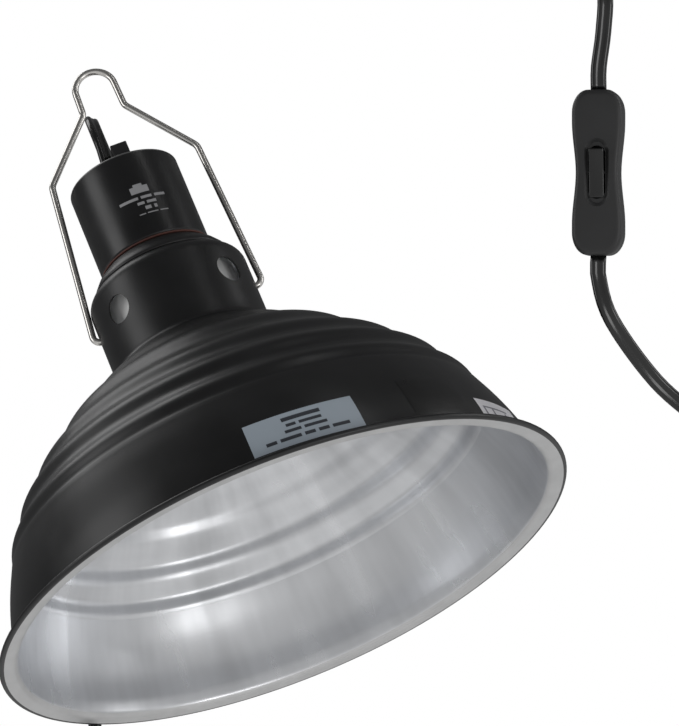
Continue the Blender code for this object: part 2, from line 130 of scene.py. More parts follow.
def group_tree(name, sockets_in, sockets_out):
    tree = bpy.data.node_groups.new(name, "ShaderNodeTree")
    for label, kind, value in sockets_in:
        socket = tree.interface.new_socket(label, in_out="INPUT", socket_type=kind)
        if value is not None:
            socket.default_value = value
    for label, kind in sockets_out:
        tree.interface.new_socket(label, in_out="OUTPUT", socket_type=kind)
    return tree, tree.nodes.new("NodeGroupInput"), tree.nodes.new("NodeGroupOutput")


def blotch_group():
    """Slow, soft variation in colour and roughness, with a fine grain on top."""
    tree, given, result = group_tree(
        "soft_blotches",
        [("Scale", "NodeSocketFloat", 30.0), ("Grain Scale", "NodeSocketFloat", 900.0)],
        [("Mask", "NodeSocketFloat"), ("Grain", "NodeSocketFloat")])
    place = tree.nodes.new("ShaderNodeTexCoord")
    slow = node(tree, "ShaderNodeTexNoise", Detail=3.0, Roughness=0.55)
    fine = node(tree, "ShaderNodeTexNoise", Detail=2.0, Roughness=0.5)
    for noise, label in ((slow, "Scale"), (fine, "Grain Scale")):
        link(tree, place.outputs["Object"], noise.inputs["Vector"])
        link(tree, given.outputs[label], noise.inputs["Scale"])
    link(tree, slow.outputs["Fac"], result.inputs["Mask"])
    link(tree, fine.outputs["Fac"], result.inputs["Grain"])
    return tree


def spun_group():
    """Fine circular tool lines round the lamp's axis, and wider streaks that run down the wall."""
    tree, given, result = group_tree(
        "spun_lines",
        [("Centre", "NodeSocketVector", None), ("Line Scale", "NodeSocketFloat", 900.0)],
        [("Lines", "NodeSocketFloat"), ("Streaks", "NodeSocketFloat")])
    place = tree.nodes.new("ShaderNodeTexCoord")
    shift = node(tree, "ShaderNodeVectorMath", operation="SUBTRACT")
    link(tree, place.outputs["Object"], shift.inputs[0])
    link(tree, given.outputs["Centre"], shift.inputs[1])
    split = tree.nodes.new("ShaderNodeSeparateXYZ")
    link(tree, shift.outputs["Vector"], split.inputs["Vector"])
    flat = tree.nodes.new("ShaderNodeCombineXYZ")
    link(tree, split.outputs["X"], flat.inputs["X"])
    link(tree, split.outputs["Y"], flat.inputs["Y"])
    radius = node(tree, "ShaderNodeVectorMath", operation="LENGTH")
    link(tree, flat.outputs["Vector"], radius.inputs[0])
    down = node(tree, "ShaderNodeMath", operation="SUBTRACT")
    link(tree, radius.outputs["Value"], down.inputs[0])
    link(tree, split.outputs["Z"], down.inputs[1])
    run = tree.nodes.new("ShaderNodeCombineXYZ")
    link(tree, down.outputs["Value"], run.inputs["X"])
    lines = node(tree, "ShaderNodeTexNoise", Detail=4.0, Roughness=0.7)
    link(tree, run.outputs["Vector"], lines.inputs["Vector"])
    link(tree, given.outputs["Line Scale"], lines.inputs["Scale"])
    aim = node(tree, "ShaderNodeVectorMath", operation="NORMALIZE")
    link(tree, flat.outputs["Vector"], aim.inputs[0])
    around = tree.nodes.new("ShaderNodeSeparateXYZ")
    link(tree, aim.outputs["Vector"], around.inputs["Vector"])
    low = node(tree, "ShaderNodeMath", operation="MULTIPLY")
    low.inputs[1].default_value = 1.6
    link(tree, down.outputs["Value"], low.inputs[0])
    wrap = tree.nodes.new("ShaderNodeCombineXYZ")
    link(tree, around.outputs["X"], wrap.inputs["X"])
    link(tree, around.outputs["Y"], wrap.inputs["Y"])
    link(tree, low.outputs["Value"], wrap.inputs["Z"])
    streaks = node(tree, "ShaderNodeTexNoise", Scale=4.5, Detail=3.0, Roughness=0.55)
    link(tree, wrap.outputs["Vector"], streaks.inputs["Vector"])
    link(tree, lines.outputs["Fac"], result.inputs["Lines"])
    link(tree, streaks.outputs["Fac"], result.inputs["Streaks"])
    return tree


BLOTCHES = blotch_group()
SPUN = spun_group()


def map_range(tree, source, from_min, from_max, to_min, to_max):
    ramp = node(tree, "ShaderNodeMapRange")
    ramp.inputs["From Min"].default_value = from_min
    ramp.inputs["From Max"].default_value = from_max
    ramp.inputs["To Min"].default_value = to_min
    ramp.inputs["To Max"].default_value = to_max
    link(tree, source, ramp.inputs["Value"])
    return ramp.outputs["Result"]


def spread(tree, source, low, high):
    """Maps a noise value to a range of plain values."""
    return map_range(tree, source, NOISE_LOW, NOISE_HIGH, low, high)


def colour_between(tree, source, low, high):
    mix = node(tree, "ShaderNodeMix", data_type="RGBA")
    link(tree, source, mix.inputs["Factor"])
    mix.inputs[MIX_COLOUR_A].default_value = (*low, 1.0)
    mix.inputs[MIX_COLOUR_B].default_value = (*high, 1.0)
    return mix.outputs[MIX_COLOUR_RESULT]


def add_bump(tree, shader, height, strength, distance):
    bump = node(tree, "ShaderNodeBump")
    bump.inputs["Strength"].default_value = strength
    bump.inputs["Distance"].default_value = distance
    link(tree, height, bump.inputs["Height"])
    link(tree, bump.outputs["Normal"], shader.inputs["Normal"])


def plain_finish(name, colour, roughness, metallic=0.0, grain=0.06, scale=40.0, grain_scale=1500.0,
                 variation=0.25, coat=0.0, coat_roughness=0.2, specular=0.5):
    """A moulded, painted or plated surface: blotched colour and roughness and a fine bump."""
    made, tree, shader = new_material(name)
    effect = node(tree, "ShaderNodeGroup", node_tree=BLOTCHES)
    effect.inputs["Scale"].default_value = scale
    effect.inputs["Grain Scale"].default_value = grain_scale
    mask = spread(tree, effect.outputs["Mask"], 0.0, 1.0)
    dark = tuple(channel * (1 - variation) for channel in colour)
    light = tuple(min(1.0, channel * (1 + variation)) for channel in colour)
    link(tree, colour_between(tree, mask, dark, light), shader.inputs["Base Color"])
    link(tree, spread(tree, effect.outputs["Mask"], roughness * 0.88, roughness * 1.12),
         shader.inputs["Roughness"])
    shader.inputs["Metallic"].default_value = metallic
    shader.inputs["Coat Weight"].default_value = coat
    shader.inputs["Coat Roughness"].default_value = coat_roughness
    shader.inputs["Specular IOR Level"].default_value = specular
    add_bump(tree, shader, effect.outputs["Grain"], grain, mm(0.2))
    return made


def spun_aluminium(name, colour, roughness, anisotropy):
    made, tree, shader = new_material(name)
    effect = node(tree, "ShaderNodeGroup", node_tree=SPUN)
    effect.inputs["Centre"].default_value = RIM_CENTRE
    effect.inputs["Line Scale"].default_value = 700.0
    darker = tuple(channel * 0.72 for channel in colour)
    streak = spread(tree, effect.outputs["Streaks"], 0.0, 1.0)
    link(tree, colour_between(tree, streak, darker, colour), shader.inputs["Base Color"])
    link(tree, spread(tree, effect.outputs["Streaks"], roughness * 1.2, roughness * 0.8),
         shader.inputs["Roughness"])
    shader.inputs["Metallic"].default_value = 1.0
    shader.inputs["Anisotropic"].default_value = anisotropy
    add_bump(tree, shader, effect.outputs["Lines"], 0.25, mm(0.08))
    return made


FINISH = {
    "paint": plain_finish("black_satin_paint", (0.0075, 0.0075, 0.008), 0.37, grain=0.1),
    "housing": plain_finish("black_smooth_paint", (0.007, 0.007, 0.0075), 0.33, grain=0.06),
    # painted highlight: the housing's rounded top edge is coloured light grey to stand in for the edge
    # catching light
    "edge": plain_finish("painted_highlight_edge", (0.16, 0.16, 0.16), 0.35, metallic=0.5, variation=0.3),
    "aluminium": spun_aluminium("spun_aluminium", (0.80, 0.81, 0.83), 0.3, 0.6),
    "lip": plain_finish("satin_lip", (0.62, 0.62, 0.62), 0.42, metallic=0.9, variation=0.06, scale=90),
    "stainless": plain_finish("polished_wire", (0.72, 0.70, 0.67), 0.24, metallic=1.0, variation=0.05,
                              grain=0.0),
    "porcelain": plain_finish("glazed_porcelain", (0.78, 0.78, 0.77), 0.32, variation=0.08, coat=0.3),
    "brass": plain_finish("brass", (0.78, 0.58, 0.29), 0.28, metallic=1.0, variation=0.12),
    "steel": plain_finish("plated_steel", (0.6, 0.6, 0.6), 0.3, metallic=1.0, variation=0.1),
    "fibre": plain_finish("red_fibre", (0.10, 0.036, 0.026), 0.7, variation=0.3, grain=0.3),
    "block": plain_finish("moulded_black", (0.018, 0.018, 0.019), 0.38, grain=0.2),
    "switch": plain_finish("matt_grey_black", (0.024, 0.024, 0.0245), 0.45, grain=0.2, grain_scale=2600,
                           variation=0.12, specular=0.45),
    "rocker": plain_finish("glossy_black", (0.003, 0.003, 0.003), 0.1, grain=0.0, specular=0.6),
    "cord": plain_finish("black_vinyl", (0.005, 0.005, 0.005), 0.17, grain=0.02, grain_scale=500,
                         specular=0.6),
    "lead": plain_finish("woven_sleeve", (0.75, 0.74, 0.70), 0.7, grain=0.6, grain_scale=2200),
    "sticker": plain_finish("pale_sticker", (0.40, 0.46, 0.52), 0.42, variation=0.04, grain=0.05),
    "white_sticker": plain_finish("white_sticker", (0.74, 0.73, 0.76), 0.4, variation=0.04),
    "clear_sticker": plain_finish("glossy_black_sticker", (0.006, 0.006, 0.006), 0.3, grain=0.02),
    "ink": plain_finish("dark_ink", (0.035, 0.04, 0.05), 0.5, variation=0.1),
    "grey_ink": plain_finish("grey_ink", (0.22, 0.22, 0.25), 0.5, variation=0.1),
    "white_print": plain_finish("white_print", (0.34, 0.34, 0.35), 0.55, variation=0.15),
}


# --- mesh helpers --------------------------------------------------------------------------------

def sort_faces(bm):
    """Extrude and spin make faces in an order that changes from run to run; this fixes the order."""
    bm.verts.index_update()
    count = len(bm.verts)

    def place(face):
        numbers = [vert.index for vert in face.verts]
        return min(numbers) + sum(numbers) / count ** 2

    bm.faces.sort(key=place)


def finish_piece(name, bm, body, finishes):
    sort_faces(bm)
    data = bpy.data.meshes.new(name)
    bm.to_mesh(data)
    bm.free()
    made = bpy.data.objects.new(name, data)
    bpy.context.scene.collection.objects.link(made)
    for finish in finishes:
        data.materials.append(FINISH[finish])
    data.shade_smooth()
    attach(made, body)
    return made


def spin_outline(bm, outline, steps, centre=RIM_CENTRE, closed=True):
    """Turns an outline of (radius, height) in millimetres about a vertical axis through centre."""
    verts = [bm.verts.new(centre + Vector((mm(radius), 0, mm(height)))) for radius, height in outline]
    edges = [bm.edges.new(pair) for pair in zip(verts, verts[1:])]
    if closed:
        edges.append(bm.edges.new((verts[-1], verts[0])))
    bmesh.ops.spin(bm, geom=verts + edges, cent=centre, axis=(0, 0, 1), angle=2 * math.pi, steps=steps,
                   use_merge=True, use_duplicate=False)
    bmesh.ops.remove_doubles(bm, verts=bm.verts, dist=1e-6)
    bmesh.ops.recalc_face_normals(bm, faces=bm.faces)


def arc(centre, radius, start, end, count):
    angles = [math.radians(start + (end - start) * i / count) for i in range(count + 1)]
    return [(centre[0] + radius * math.cos(a), centre[1] + radius * math.sin(a)) for a in angles]


def catmull(points, per_span=12):
    """A smooth curve through points of any size."""
    points = [Vector(point) for point in points]
    ends = [2 * points[0] - points[1]] + points + [2 * points[-1] - points[-2]]
    fine = []
    for a, b, c, d in zip(ends, ends[1:], ends[2:], ends[3:]):
        for i in range(per_span):
            t = i / per_span
            fine.append(0.5 * (2 * b + (c - a) * t + (2 * a - 5 * b + 4 * c - d) * t * t
                               + (3 * b - a - 3 * c + d) * t ** 3))
    return fine + [points[-1]]


def even(points, spacing):
    """The same path with its points an even distance apart."""
    lengths = [0.0]
    for a, b in zip(points, points[1:]):
        lengths.append(lengths[-1] + (b - a).length)
    count = max(2, round(lengths[-1] / spacing))
    path, at = [], 0
    for i in range(count + 1):
        wanted = lengths[-1] * i / count
        while at < len(points) - 2 and lengths[at + 1] < wanted:
            at += 1
        share = (wanted - lengths[at]) / max(lengths[at + 1] - lengths[at], 1e-12)
        path.append(points[at].lerp(points[at + 1], min(share, 1.0)))
    return path


def next_ring(bm, ring, edges):
    """Extrudes a loop of edges; returns the new loop's verts, in the old order, and its edges."""
    old = set(ring)
    made = bmesh.ops.extrude_edge_only(bm, edges=edges)["geom"]
    grown = [part for part in made if isinstance(part, bmesh.types.BMEdge) and part.is_boundary
             and not old.intersection(part.verts)]
    follows = {}
    for vert in {vert for edge in grown for vert in edge.verts}:
        before = next(edge.other_vert(vert) for edge in vert.link_edges if edge.other_vert(vert) in old)
        follows[before] = vert
    return [follows[vert] for vert in ring], grown


def sweep(bm, path, section, aims):
    """Draws a closed section along a path; aims holds, for each point, where its thin side points."""
    last = len(path) - 1
    ring = [bm.verts.new() for _ in section]
    first = [bm.edges.new(pair) for pair in zip(ring, ring[1:] + ring[:1])]
    edges = first
    for i, point in enumerate(path):
        if i > 0:
            ring, edges = next_ring(bm, ring, edges)
        ahead = (path[min(i + 1, last)] - path[max(i - 1, 0)]).normalized()
        thin = (aims[i] - ahead * aims[i].dot(ahead)).normalized()
        wide = thin.cross(ahead)
        for vert, (x, y) in zip(ring, section):
            vert.co = point + wide * x + thin * y
    bmesh.ops.contextual_create(bm, geom=first)
    bmesh.ops.contextual_create(bm, geom=edges)
    bmesh.ops.recalc_face_normals(bm, faces=bm.faces)


def take_out(target, bm_cutter):
    """Cuts a closed bmesh out of a piece and applies the result."""
    data = bpy.data.meshes.new("cutter")
    bmesh.ops.recalc_face_normals(bm_cutter, faces=bm_cutter.faces)
    bm_cutter.to_mesh(data)
    bm_cutter.free()
    cutter = bpy.data.objects.new("cutter", data)
    bpy.context.scene.collection.objects.link(cutter)
    modifier = target.modifiers.new("cut", "BOOLEAN")
    modifier.operation = "DIFFERENCE"
    modifier.solver = "EXACT"
    modifier.object = cutter
    bpy.context.view_layer.update()
    graph = bpy.context.evaluated_depsgraph_get()
    result = bpy.data.meshes.new_from_object(target.evaluated_get(graph))
    target.modifiers.clear()
    old = target.data
    target.data = result
    bpy.data.meshes.remove(old)
    bpy.data.objects.remove(cutter)
    bpy.data.meshes.remove(data)


def rod(bm, radius, start, end, sides=32):
    run = end - start
    turn = run.to_track_quat("Z", "Y").to_matrix().to_4x4()
    bmesh.ops.create_cone(bm, cap_ends=True, segments=sides, radius1=radius, radius2=radius,
                          depth=run.length, matrix=Matrix.Translation((start + end) / 2) @ turn)


# --- reflector -----------------------------------------------------------------------------------
NECK_RADIUS = 36.0
NECK_TOP = 151.0
CREST_RADII = (46.0, 67.0, 84.0, 96.0, 104.4)
SKIRT_TOP = (107.4, 42.0)
RIPPLE_HEIGHT = 0.75
SHEET = 0.9
DOME_STOPS = ((38.0, 110.0), (47.0, 104.3), (57.0, 97.5), (66.5, 90.3), (83.4, 75.4), (95.3, 62.5),
              (103.7, 49.7), SKIRT_TOP)
DOME_CURVE = catmull(DOME_STOPS, 16)
DOME_INNER_RADIUS = 40.0        # where the ripples' spacing starts
SHELL_STEPS = 144
VENT_ANGLES = (45, 135, 225, 315)
VENT_RADIUS = 6.3
BAIL_BORE_RADIUS = 1.75
PAINTED, BARE, SATIN = 0, 1, 2


def dome_height(radius):
    """Height of the plain dome, between the flare at the neck and the top of the skirt."""
    for a, b in zip(DOME_CURVE, DOME_CURVE[1:]):
        if radius <= b.x:
            return a.y + (b.y - a.y) * (radius - a.x) / (b.x - a.x)
    return DOME_CURVE[-1].y


def ripple(radius):
    if not CREST_RADII[0] < radius < SKIRT_TOP[0]:
        return 0.0
    for i, (inner, outer) in enumerate(zip(CREST_RADII, CREST_RADII[1:] + (SKIRT_TOP[0] + 4,))):
        if inner <= radius <= outer:
            turn = 2 * math.pi * (i + (radius - inner) / (outer - inner))
            fade = min(1.0, (radius - CREST_RADII[0]) / 12, (SKIRT_TOP[0] - radius) / 1.5)
            return RIPPLE_HEIGHT * fade * math.cos(turn)
    return 0.0


def dome_wall():
    """The reflector's outer wall from the neck's mouth to the top of the lip."""
    wall = [(29.5, NECK_TOP)] + arc((NECK_RADIUS - 6.5, NECK_TOP - 6.5), 6.5, 84, 0, 8)
    wall += [(NECK_RADIUS, z) for z in (138.0, 131.0, 124.0, 118.0)]
    wall += arc((NECK_RADIUS + 4.0, 113.4), 4.0, 180, 238, 5)
    radius = DOME_INNER_RADIUS
    while radius < SKIRT_TOP[0]:
        out = ripple(radius)
        share = (radius - DOME_INNER_RADIUS) / 68
        lean = 0.62 + 0.3 * share
        wall.append((radius + out * lean, dome_height(radius) + out * (1.1 - lean * 0.5)))
        radius += 1.3 - 0.85 * share
    skirt = catmull((SKIRT_TOP, (112.3, 30.0), (116.3, 17.0), (118.2, 6.0)), 5)
    return wall + [(point.x, point.y) for point in skirt]


def offset_inwards(points, distance):
    moved = []
    for i, (radius, height) in enumerate(points):
        before = Vector(points[max(i - 1, 0)])
        after = Vector(points[min(i + 1, len(points) - 1)])
        along = (after - before).normalized()
        moved.append((radius + along.y * distance, height - along.x * distance))
    return moved


def reflector_outline():
    """The shell's closed outline, and the finish of the face that starts at each of its points."""
    wall = dome_wall()
    top_of_lip = arc((121.0, 4.0), 2.4, 185, 265, 5) + [(125.4, 1.7)]
    bead = arc((125.8, 1.2), 1.2, 75, -90, 9) + [(125.2, 0.02)]
    under_lip = [(124.0, 0.1), (122.4, 0.15)] + arc((121.4, 3.3), 3.2, -100, -172, 6)
    inside = offset_inwards(wall, SHEET)[::-1]
    outline = wall + top_of_lip + bead + under_lip + inside
    painted = len(wall) + len(top_of_lip) + len(bead) - 1
    satin = len(under_lip) - 2
    bare = len(outline) - painted - satin
    return outline, [PAINTED] * painted + [SATIN] * satin + [BARE] * bare


def reflector_holes():
    """The four vents and the two holes that the bail's ends sit in."""
    bm = bmesh.new()
    height = PIVOT_Z - RIM_Z
    base = RIM_CENTRE + Vector((0, 0, height))
    for angle in VENT_ANGLES:
        out = Vector((math.cos(math.radians(angle)), math.sin(math.radians(angle)), 0))
        rod(bm, mm(VENT_RADIUS), base + out * mm(30), base + out * mm(41), 48)
    for side in (-1, 1):
        rod(bm, mm(BAIL_BORE_RADIUS), lamp_point(side * 30, 0, height * 1000),
            lamp_point(side * 41, 0, height * 1000))
    return bm


def reflector():
    outline, finishes = reflector_outline()
    bm = bmesh.new()
    spin_outline(bm, outline, SHELL_STEPS)
    spans = zip(outline, outline[1:] + outline[:1], finishes)
    middles = [((Vector(a) + Vector(b)) / 2, finish) for a, b, finish in spans]
    flat_to_round = 1 / math.cos(math.pi / SHELL_STEPS)
    for face in bm.faces:
        centre = (face.calc_center_median() - RIM_CENTRE) * 1000
        spot = Vector((math.hypot(centre.x, centre.y) * flat_to_round, centre.z))
        face.material_index = min(middles, key=lambda item: (item[0] - spot).length_squared)[1]
    shell = finish_piece("reflector", bm, "lamp", ("paint", "aluminium", "lip"))
    take_out(shell, reflector_holes())
    mark_smooth_by_angle(shell, 50)
    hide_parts("reflector_shell")


# --- housing, collar and gasket ------------------------------------------------------------------

HOUSING_FOOT = (HOUSING_LOW.z - RIM_Z) * 1000
HOUSING_TOP = (HOUSING_HIGH.z - RIM_Z) * 1000
HOUSING_SIDE = HOUSING_RADIUS * 1000
EDGE_RADIUS = 1.1
CORD_HOLE_X = -4.2
RING_BORE_RADIUS = 20.6


def socket_housing():
    low, high, radius = HOUSING_FOOT, HOUSING_TOP, HOUSING_SIDE
    outline = [(0.0, high)] + arc((radius - EDGE_RADIUS, high - EDGE_RADIUS), EDGE_RADIUS, 90, 0, 4)
    outline += [(radius, high - 8), (radius, low + 6), (radius, low + 0.6), (radius - 0.5, low)]
    outline += [(radius - 1.6, low), (radius - 1.6, high - 1.8), (0.0, high - 1.8)]
    bm = bmesh.new()
    spin_outline(bm, outline, 96, closed=False)
    # The faces of the top's rounded edge take the painted highlight finish.
    for face in bm.faces:
        spot = face.calc_center_median() - RIM_CENTRE
        if spot.z > mm(high - EDGE_RADIUS) and math.hypot(spot.x, spot.y) > mm(radius - EDGE_RADIUS):
            face.material_index = 1
    cup = finish_piece("housing", bm, "lamp", ("housing", "edge"))
    hole = bmesh.new()
    rod(hole, mm(3.1), lamp_point(CORD_HOLE_X, 0, high - 6), lamp_point(CORD_HOLE_X, 0, high + 4), 24)
    take_out(cup, hole)
    mark_smooth_by_angle(cup, 35)
    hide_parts("socket_housing")


def gasket():
    outline = arc((24.9, HOUSING_FOOT - 0.75), 0.38, -90, 90, 8)
    outline += [(RING_BORE_RADIUS, HOUSING_FOOT - 0.4), (RING_BORE_RADIUS, HOUSING_FOOT - 1.1)]
    bm = bmesh.new()
    spin_outline(bm, outline, 96)
    ring = finish_piece("gasket", bm, "lamp", ("fibre",))
    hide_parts("housing_gasket")


def collar():
    foot = NECK_TOP + 0.3
    outline = [(RING_BORE_RADIUS, HOUSING_FOOT - 1.5)] + arc((24.6, HOUSING_FOOT - 2.3), 0.8, 90, 30, 3)
    outline += [(28.6, foot + 5.0), (30.9, foot + 1.9), (31.3, foot + 0.9), (31.3, foot)]
    outline += [(RING_BORE_RADIUS, foot)]
    bm = bmesh.new()
    spin_outline(bm, outline, 96)
    ring = finish_piece("collar", bm, "lamp", ("paint",))
    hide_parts("neck_collar")


# --- bail ----------------------------------------------------------------------------------------
LOOP_RADIUS = 9.0
BAIL_BENDS = (3.5, 6.0, 5.0)    # radii of a leg's bends, from its foot up
WIRE_SIDES = 20


def rounded(points, radii, count=8):
    """A path through points with its corners turned into arcs of the given radii."""
    path = [Vector(points[0])]
    for before, corner, after, radius in zip(points, points[1:], points[2:], radii):
        corner = Vector(corner)
        back = (Vector(before) - corner).normalized()
        on = (Vector(after) - corner).normalized()
        half = back.angle(on) / 2
        centre = corner + (back + on).normalized() * radius / math.sin(half)
        start = corner + back * radius / math.tan(half) - centre
        end = corner + on * radius / math.tan(half) - centre
        path += [centre + start.slerp(end, i / count).normalized() * radius for i in range(count + 1)]
    path.append(Vector(points[-1]))
    return path


def bail():
    low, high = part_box("bail_wire")
    wire = (high.y - low.y) / 2 * 1000
    pivot = (PIVOT_Z - RIM_Z) * 1000
    loop_x = -AXIS_X * 1000
    top = (high.z - RIM_Z) * 1000 - wire - LOOP_RADIUS
    left = rounded([(-31, 0, pivot), (-38.8, 0, pivot), (-30.4, 0, 213.2), (loop_x - 9.4, 0, 242.0),
                    (loop_x - LOOP_RADIUS, 0, top)], BAIL_BENDS)
    right = rounded([(31, 0, pivot), (39.4, 0, pivot), (36.4, 0, 208.2), (loop_x + 9.4, 0, 240.0),
                     (loop_x + LOOP_RADIUS, 0, top)], BAIL_BENDS)
    over = [Vector((x, 0, z)) for x, z in arc((loop_x, top), LOOP_RADIUS, 180, 0, 24)[1:-1]]
    path = [lamp_point(*point) for point in left + over + right[::-1]]
    angles = [2 * math.pi * i / WIRE_SIDES for i in range(WIRE_SIDES)]
    section = [(mm(wire) * math.cos(angle), mm(wire) * math.sin(angle)) for angle in angles]
    bm = bmesh.new()
    sweep(bm, path, section, [Vector((0, -1, 0))] * len(path))
    made = finish_piece("bail", bm, "bail", ("stainless",))
    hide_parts("bail_wire")


# --- cords ---------------------------------------------------------------------------------------
CORD_WIDTH = 6.4
CORD_THICK = 3.3
SWITCH_MIDDLE = lamp_point(165.4, -128.7, 65.5)
ENTERS_SWITCH, LEAVES_SWITCH = VIEW_UP * mm(32), VIEW_UP * mm(42)     # from the switch's middle
COIL_LOW, COIL_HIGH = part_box("cord_coil")
COIL_CENTRE = (COIL_LOW + COIL_HIGH) / 2
COIL_RADIUS = 33.0
COIL_TURNS = 3.25
COIL_SLOTS = ((1.8, -3.3), (-1.8, -3.3), (-1.8, 3.3), (1.8, 3.3))     # outwards, along the axis
TURN_POINTS = 24
LAMP_CORD_STEP = 4.0
PLUG_CORD_STEP = 3.5
PLUG_LOW, PLUG_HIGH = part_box("plug_body")


def twin_section(width=CORD_WIDTH, thick=CORD_THICK):
    """Two round conductors side by side, joined by a web with a groove on each face."""
    lobe = thick / 2
    side = width / 2 - lobe
    points = []
    for centre, start in ((side, -128), (-side, 52)):
        for i in range(13):
            angle = math.radians(start + 256 * i / 12)
            points.append((mm(centre + lobe * math.cos(angle)), mm(lobe * math.sin(angle))))
    return points


def untwisted(path, holds):
    """Directions for a flat cord's thin side: carried along without twist, then turned evenly so
    that it agrees with each hold, a (point number, direction) pair."""
    last = len(path) - 1
    ahead = [(path[min(i + 1, last)] - path[max(i - 1, 0)]).normalized() for i in range(last + 1)]
    thin = holds[0][1] - ahead[0] * ahead[0].dot(holds[0][1])
    carried = [thin.normalized()]
    for before, after in zip(ahead, ahead[1:]):
        carried.append(before.rotation_difference(after) @ carried[-1])
    turns = []
    for at, wanted in holds:
        wanted = (wanted - ahead[at] * wanted.dot(ahead[at])).normalized()
        angle = math.atan2(ahead[at].dot(carried[at].cross(wanted)), carried[at].dot(wanted))
        if turns:
            angle += math.pi * round((turns[-1] - angle) / math.pi)
        turns.append(angle)
    aims = []
    for i in range(last + 1):
        turn = turns[-1]
        for (a, _), (b, _), start, end in zip(holds, holds[1:], turns, turns[1:]):
            if a <= i <= b:
                share = (i - a) / max(b - a, 1)
                turn = start + (end - start) * share * share * (3 - 2 * share)
                break
        aims.append(Matrix.Rotation(turn, 3, ahead[i]) @ carried[i])
    return aims


def nearest(path, spot):
    return min(range(len(path)), key=lambda i: (path[i] - spot).length_squared)


def coil_point(x, y, z):
    """A point given in millimetres from the middle of the coil."""
    return COIL_CENTRE + Vector((mm(x), mm(y), mm(z)))


def coil_points():
    """The turns of the coil: each starts in its own slot and moves over to the next near its end."""
    points = []
    for i in range(round(COIL_TURNS * TURN_POINTS) + 1):
        turns = i / TURN_POINTS
        slot = int(turns)
        share = max(0.0, (turns - slot - 0.7) / 0.3)
        share = share * share * (3 - 2 * share)
        out_a, along_a = COIL_SLOTS[min(slot, 3)]
        out_b, along_b = COIL_SLOTS[min(slot + 1, 3)]
        radius = mm(COIL_RADIUS + out_a + (out_b - out_a) * share)
        along = mm(along_a + (along_b - along_a) * share)
        angle = 2 * math.pi * turns
        points.append(COIL_CENTRE + Vector((radius * math.cos(angle), along, radius * math.sin(angle))))
    return points


def lamp_cord():
    """From the clamp, over backwards and down behind the shade, under it and up to the switch."""
    over = [(-4.2, 0, 205), (-4.2, 0, 212), (-3.4, 0, 221), (-2.9, 0.8, 229.8), (-2.4, 7.3, 241),
            (-1.4, 18.5, 247.4), (-0.3, 31.3, 247.4), (0.7, 42.5, 241), (1.3, 49, 229.8), (1, 50, 205)]
    behind = [(-1, 51.5, 155), (-4, 54, 134), (-9, 59, 118), (-18, 65, 106), (-31, 71, 94), (-46, 77, 80),
              (-61, 81, 65), (-74, 84, 48), (-84, 86, 30), (-91, 88, 13), (-96, 91, 0)]
    under = [(-98, 98, -14), (-93, 113, -28), (-76, 130, -44), (-48, 138, -62), (-12, 135, -80),
             (34, 117, -98), (77, 82, -113), (113, 40, -122), (139, 8, -121), (160, -15, -108),
             (173, -34, -86), (179, -51, -65), (180, -64, -46), (173, -73, -30), (160, -84, -9),
             (150, -104, 14)]
    route = [lamp_point(*point) for point in over + behind + under]
    route += [SWITCH_MIDDLE - LEAVES_SWITCH, SWITCH_MIDDLE - ENTERS_SWITCH]
    path = even(catmull(route), mm(LAMP_CORD_STEP))
    leaves_view = nearest(path, lamp_point(173, -73, -30))
    holds = [(0, Vector((0.7, -0.7, 0))), (nearest(path, lamp_point(-9, 59, 118)), Vector((-0.2, 1, 0.9))),
             (nearest(path, lamp_point(-84, 86, 30)), Vector((-0.6, 0.7, 0.2))),
             (leaves_view, -VIEW_AHEAD), (len(path) - 1, -VIEW_AHEAD)]
    made = draw_cord("lamp_cord", path, holds)
    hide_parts("cord_lamp_to_switch")


def plug_cord():
    """From the switch up to the tidy coil, round it, and up into the plug."""
    rise = [SWITCH_MIDDLE + ENTERS_SWITCH, SWITCH_MIDDLE + LEAVES_SWITCH]
    rise += [lamp_point(186.9, -152.7, 112.7), lamp_point(193.4, -160.2, 127.6)]
    into = [coil_point(34, -21, -42), coil_point(33.5, -12, -24)]
    turns = coil_points()
    foot = Vector(((PLUG_LOW.x + PLUG_HIGH.x) / 2, (PLUG_LOW.y + PLUG_HIGH.y) / 2, PLUG_LOW.z))
    away = [coil_point(-14, 2.6, 35.6), coil_point(-28, 0, 42)]
    away += [foot - Vector((0, 0, mm(7))), foot + Vector((0, 0, mm(3)))]
    path = even(catmull(rise + into + turns[1:-1] + away, 6), mm(PLUG_CORD_STEP))
    enters = nearest(path, turns[1])
    leaves = max(i for i, point in enumerate(path) if (point - turns[-1]).length < mm(PLUG_CORD_STEP))
    holds = [(0, -VIEW_AHEAD), (nearest(path, rise[-1]), -VIEW_AHEAD), (enters, Vector((1, 0, 0))),
             (leaves, Vector((0, 0, 1))), (len(path) - 1, Vector((1, 0, 0)))]
    made = draw_cord("plug_cord", path, holds)
    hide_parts("cord_switch_to_coil", "cord_coil", "cord_coil_to_plug")
    tie = coil_tie()


def draw_cord(name, path, holds):
    bm = bmesh.new()
    sweep(bm, path, twin_section(), untwisted(path, holds))
    return finish_piece(name, bm, "lamp", ("cord",))


def coil_tie():
    """A strap round the foot of the bundled turns."""
    middle = COIL_CENTRE - Vector((0, 0, mm(COIL_RADIUS)))
    loop = [middle + Vector((0, mm(7.9) * math.cos(a), mm(4.9) * math.sin(a)))
            for a in (2 * math.pi * i / 40 for i in range(41))]
    corners = ((-1.8, -0.4), (1.8, -0.4), (2.0, 0), (1.8, 0.4), (-1.8, 0.4), (-2.0, 0))
    strap = [(mm(x), mm(y)) for x, y in corners]
    bm = bmesh.new()
    sweep(bm, loop, strap, [(point - middle).normalized() for point in loop])
    made = finish_piece("coil_strap", bm, "lamp", ("block",))
    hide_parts("coil_tie")
    return made


